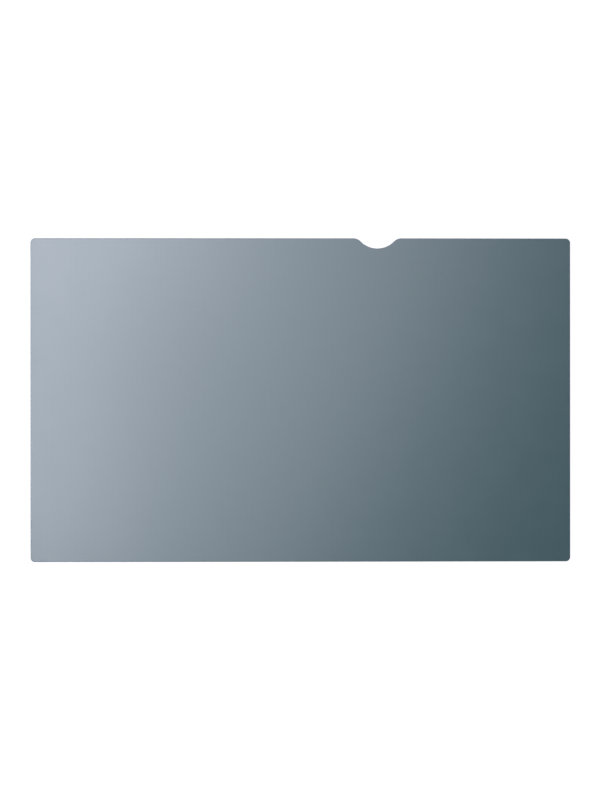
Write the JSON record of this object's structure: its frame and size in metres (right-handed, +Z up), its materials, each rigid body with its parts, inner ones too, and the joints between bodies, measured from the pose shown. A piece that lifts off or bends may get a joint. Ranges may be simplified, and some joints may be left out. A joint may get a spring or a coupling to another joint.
{
  "type": "privacy filter",
  "caption": "Thin flat privacy filter sheet for a laptop screen, a rectangle with small rounded corners and a round-shouldered thumb notch in its top edge.",
  "frame": {"origin": "middle of the back face, which the sheet lies on", "axes": "+X along the sheet's width to the right, +Y in the sheet towards its notched top edge, +Z up out of the front face"},
  "size_m": [0.29, 0.1738, 0.0005],
  "materials": {
    "louver_film": "satin"
  },
  "bodies": {
    "root": {"filter_sheet": "louver_film"}
  },
  "joints": []
}
